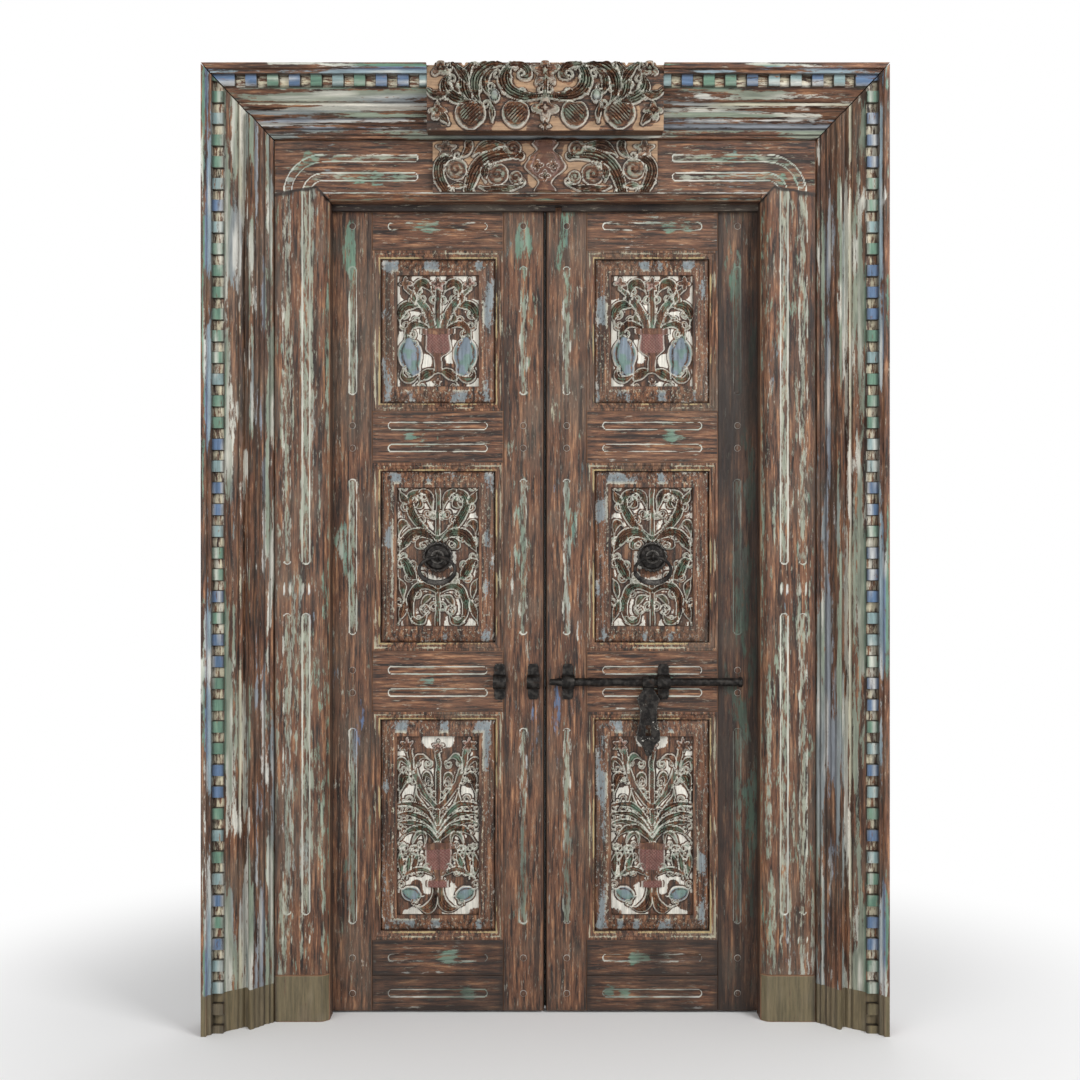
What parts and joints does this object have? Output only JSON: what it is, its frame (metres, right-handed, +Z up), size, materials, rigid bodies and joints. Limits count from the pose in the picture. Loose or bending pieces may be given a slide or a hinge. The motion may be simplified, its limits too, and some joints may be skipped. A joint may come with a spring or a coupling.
{
  "type": "carved double door",
  "caption": "Carved and painted hardwood double door in a moulded frame with dentils, ring pulls, and an iron slide bolt with a hasp.",
  "frame": {"origin": "floor level under the middle of the door, half way through its depth", "axes": "+X to the viewer's right along the wall, +Y into the building, +Z up"},
  "size_m": [1.574, 0.2346, 2.232],
  "materials": {
    "iron": "dark forged iron, worn and rubbed",
    "carved_wood": "carved hardwood with flaking coats of paint",
    "moulding_wood": "moulded hardwood with worn cream paint",
    "casing_wood": "moulded hardwood with worn green and blue paint",
    "frame_wood": "hardwood with traces of green and blue paint",
    "leaf_wood": "hardwood with traces of green and blue paint"
  },
  "bodies": {
    "frame": {"lintel": "frame_wood", "head_stop": "frame_wood", "top_casing": "casing_wood", "crest_carving": "carved_wood", "lintel_carving": "carved_wood", "left_jamb": "frame_wood", "left_jamb_foot": "frame_wood", "left_casing": "casing_wood", "left_casing_foot": "casing_wood", "left_frame_hinges": "iron", "right_jamb": "frame_wood", "right_jamb_foot": "frame_wood", "right_casing": "casing_wood", "right_casing_foot": "casing_wood", "right_frame_hinges": "iron"},
    "left_leaf": {"left_outer_stile": "leaf_wood", "left_meeting_stile": "leaf_wood", "left_kick_rail": "leaf_wood", "left_bottom_rail": "leaf_wood", "left_lock_rail": "leaf_wood", "left_upper_rail": "leaf_wood", "left_top_rail": "leaf_wood", "left_lower_panel": "carved_wood", "left_middle_panel": "carved_wood", "left_upper_panel": "carved_wood", "left_lower_moulding": "moulding_wood", "left_middle_moulding": "moulding_wood", "left_upper_moulding": "moulding_wood", "left_pegs": "leaf_wood", "left_ring_rosette": "iron", "left_ring_eye_bolt": "iron", "left_leaf_hinges": "iron", "left_keepers": "iron"},
    "right_leaf": {"right_outer_stile": "leaf_wood", "right_meeting_stile": "leaf_wood", "right_kick_rail": "leaf_wood", "right_bottom_rail": "leaf_wood", "right_lock_rail": "leaf_wood", "right_upper_rail": "leaf_wood", "right_top_rail": "leaf_wood", "right_lower_panel": "carved_wood", "right_middle_panel": "carved_wood", "right_upper_panel": "carved_wood", "right_lower_moulding": "moulding_wood", "right_middle_moulding": "moulding_wood", "right_upper_moulding": "moulding_wood", "right_pegs": "leaf_wood", "right_ring_rosette": "iron", "right_ring_eye_bolt": "iron", "right_leaf_hinges": "iron", "right_keepers": "iron"},
    "left_ring": {"left_pull_ring": "iron"},
    "right_ring": {"right_pull_ring": "iron"},
    "bolt": {"slide_bolt": "iron"},
    "hasp": {"hasp": "iron"}
  },
  "joints": [
    {"name": "left_leaf_swing", "type": "hinge", "parent": "frame", "child": "left_leaf", "pos_m": [-0.5215, 0.11025, 0.975], "axis": [0, 0, 1], "range_deg": [0, 90]},
    {"name": "right_leaf_swing", "type": "hinge", "parent": "frame", "child": "right_leaf", "pos_m": [0.5215, 0.11025, 0.975], "axis": [0, 0, -1], "range_deg": [0, 90]},
    {"name": "bolt_slide", "type": "slide", "parent": "right_leaf", "child": "bolt", "axis": [1, 0, 0], "range_m": [-0.158, 0]},
    {"name": "hasp_swing", "type": "hinge", "parent": "bolt", "child": "hasp", "pos_m": [0.247, 0.04235, 0.7955], "axis": [-1, 0, 0], "range_deg": [0, 150]},
    {"name": "left_ring_swing", "type": "hinge", "parent": "left_leaf", "child": "left_ring", "pos_m": [-0.2575, 0.03465, 1.0945], "axis": [-1, 0, 0], "range_deg": [0, 120]},
    {"name": "right_ring_swing", "type": "hinge", "parent": "right_leaf", "child": "right_ring", "pos_m": [0.2575, 0.03465, 1.0945], "axis": [-1, 0, 0], "range_deg": [0, 120]}
  ]
}
